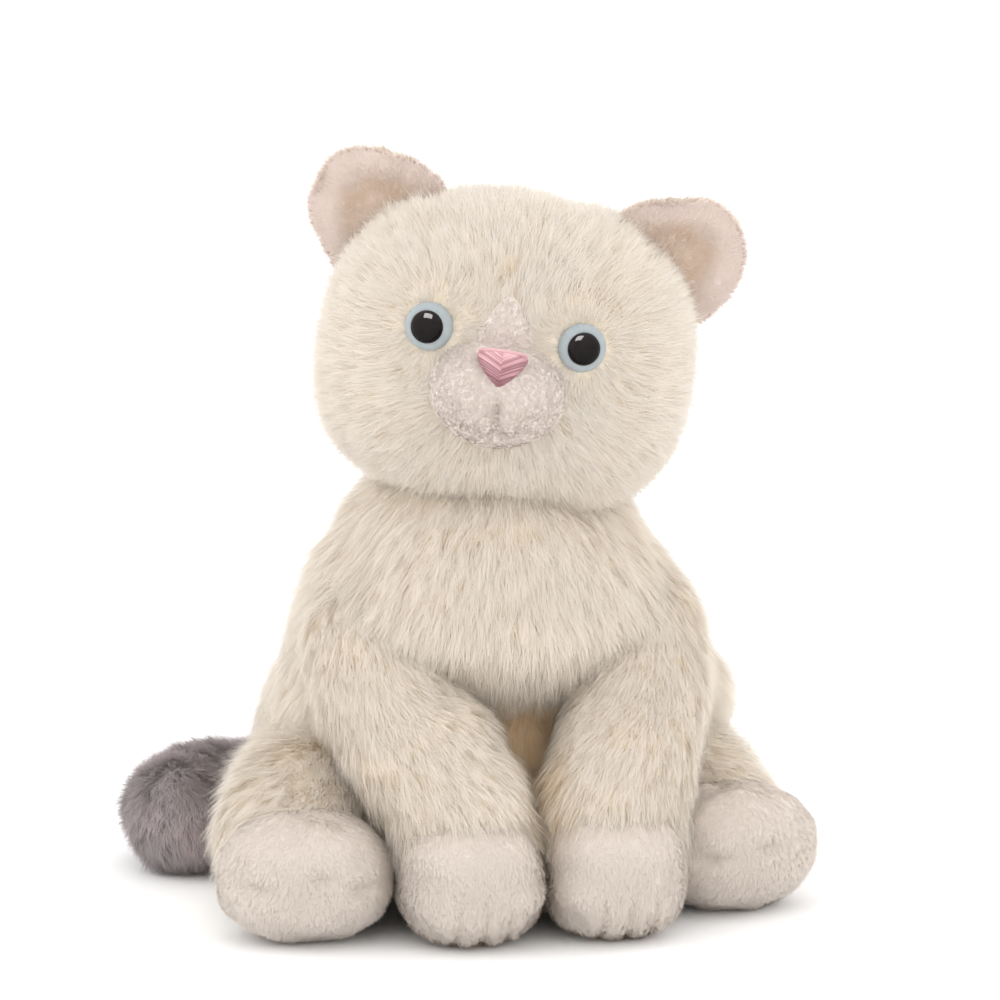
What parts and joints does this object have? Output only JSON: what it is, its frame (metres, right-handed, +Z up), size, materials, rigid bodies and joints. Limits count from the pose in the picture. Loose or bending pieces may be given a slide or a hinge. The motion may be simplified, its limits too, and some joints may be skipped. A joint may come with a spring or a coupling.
{
  "type": "plush cat",
  "caption": "Seated plush kitten with long cream pile, short-pile paws and muzzle, plastic eyes, stitched nose and a grey tail.",
  "frame": {"origin": "centre of the seat panel's flat underside, on the surface the toy sits on", "axes": "+Z up, the kitten's body faces -Y, its own left is +X"},
  "size_m": [0.2073, 0.1908, 0.2424],
  "materials": {
    "long_pile": "cream long-pile plush, silky, about 12 mm pile",
    "short_pile": "ivory short-pile plush, about 2 mm pile",
    "ear_lining": "pale pink short-pile plush",
    "grey_pile": "warm grey long-pile plush",
    "fibre_fill": "white polyester fibre filling",
    "cotton_cloth": "plain woven cotton",
    "seam_thread": "polyester sewing thread",
    "satin_thread": "pink satin embroidery thread",
    "iris_plastic": "pale blue-grey plastic, satin",
    "pupil_plastic": "black, high gloss",
    "washer_plastic": "white, as moulded"
  },
  "bodies": {
    "torso": {"body_skin": "long_pile", "seat_panel": "short_pile", "body_stuffing": "fibre_fill", "pellet_pouch": "cotton_cloth"},
    "neck": {"neck_seam": "seam_thread"},
    "head": {"head_skin": "long_pile", "head_stuffing": "fibre_fill", "muzzle_panel": "short_pile", "nose_embroidery": "satin_thread", "eye_left_iris": "iris_plastic", "eye_left_pupil": "pupil_plastic", "eye_left_washer": "washer_plastic", "eye_right_iris": "iris_plastic", "eye_right_pupil": "pupil_plastic", "eye_right_washer": "washer_plastic"},
    "ear_left": {"ear_left_lining": "ear_lining", "ear_left_back": "long_pile"},
    "front_leg_left": {"front_leg_left_sleeve": "long_pile", "front_leg_left_stuffing": "fibre_fill", "front_paw_left": "short_pile"},
    "hind_leg_left": {"hind_leg_left_skin": "long_pile", "hind_leg_left_stuffing": "fibre_fill", "hind_foot_left": "short_pile"},
    "ear_right": {"ear_right_lining": "ear_lining", "ear_right_back": "long_pile"},
    "front_leg_right": {"front_leg_right_sleeve": "long_pile", "front_leg_right_stuffing": "fibre_fill", "front_paw_right": "short_pile"},
    "hind_leg_right": {"hind_leg_right_skin": "long_pile", "hind_leg_right_stuffing": "fibre_fill", "hind_foot_right": "short_pile"},
    "tail": {"tail_skin": "grey_pile", "tail_stuffing": "fibre_fill"}
  },
  "joints": [
    {"name": "neck_turn", "type": "hinge", "parent": "torso", "child": "neck", "pos_m": [0, -0.02, 0.088], "axis": [0, 0, 1], "range_deg": [-25, 25], "stiffness_Nm_per_rad": 0.15},
    {"name": "head_nod", "type": "hinge", "parent": "neck", "child": "head", "pos_m": [0, -0.02, 0.088], "axis": [1, 0, 0], "range_deg": [-12, 12], "stiffness_Nm_per_rad": 0.3},
    {"name": "ear_left_fold", "type": "hinge", "parent": "head", "child": "ear_left", "pos_m": [0.05424, -0.03384, 0.20592], "axis": [0.6643, -0.0105, -0.7474], "range_deg": [-15, 20], "stiffness_Nm_per_rad": 0.01},
    {"name": "shoulder_left", "type": "hinge", "parent": "torso", "child": "front_leg_left", "pos_m": [0.044, -0.036, 0.086], "axis": [-1, 0, 0], "range_deg": [0, 40], "stiffness_Nm_per_rad": 0.06},
    {"name": "hip_left", "type": "hinge", "parent": "torso", "child": "hind_leg_left", "pos_m": [0.05, -0.01, 0.0286], "axis": [0, 0, 1], "range_deg": [0, 18], "stiffness_Nm_per_rad": 0.06},
    {"name": "ear_right_fold", "type": "hinge", "parent": "head", "child": "ear_right", "pos_m": [-0.0377, -0.01261, 0.21918], "axis": [0.7779, -0.3224, 0.5393], "range_deg": [-15, 20], "stiffness_Nm_per_rad": 0.01},
    {"name": "shoulder_right", "type": "hinge", "parent": "torso", "child": "front_leg_right", "pos_m": [-0.044, -0.036, 0.086], "axis": [-1, 0, 0], "range_deg": [0, 40], "stiffness_Nm_per_rad": 0.06},
    {"name": "hip_right", "type": "hinge", "parent": "torso", "child": "hind_leg_right", "pos_m": [-0.05, -0.01, 0.0286], "axis": [0, 0, -1], "range_deg": [0, 18], "stiffness_Nm_per_rad": 0.06},
    {"name": "tail_swing", "type": "hinge", "parent": "torso", "child": "tail", "pos_m": [-0.014, 0.036, 0.019], "axis": [0, 0, -1], "range_deg": [0, 60], "stiffness_Nm_per_rad": 0.03}
  ]
}
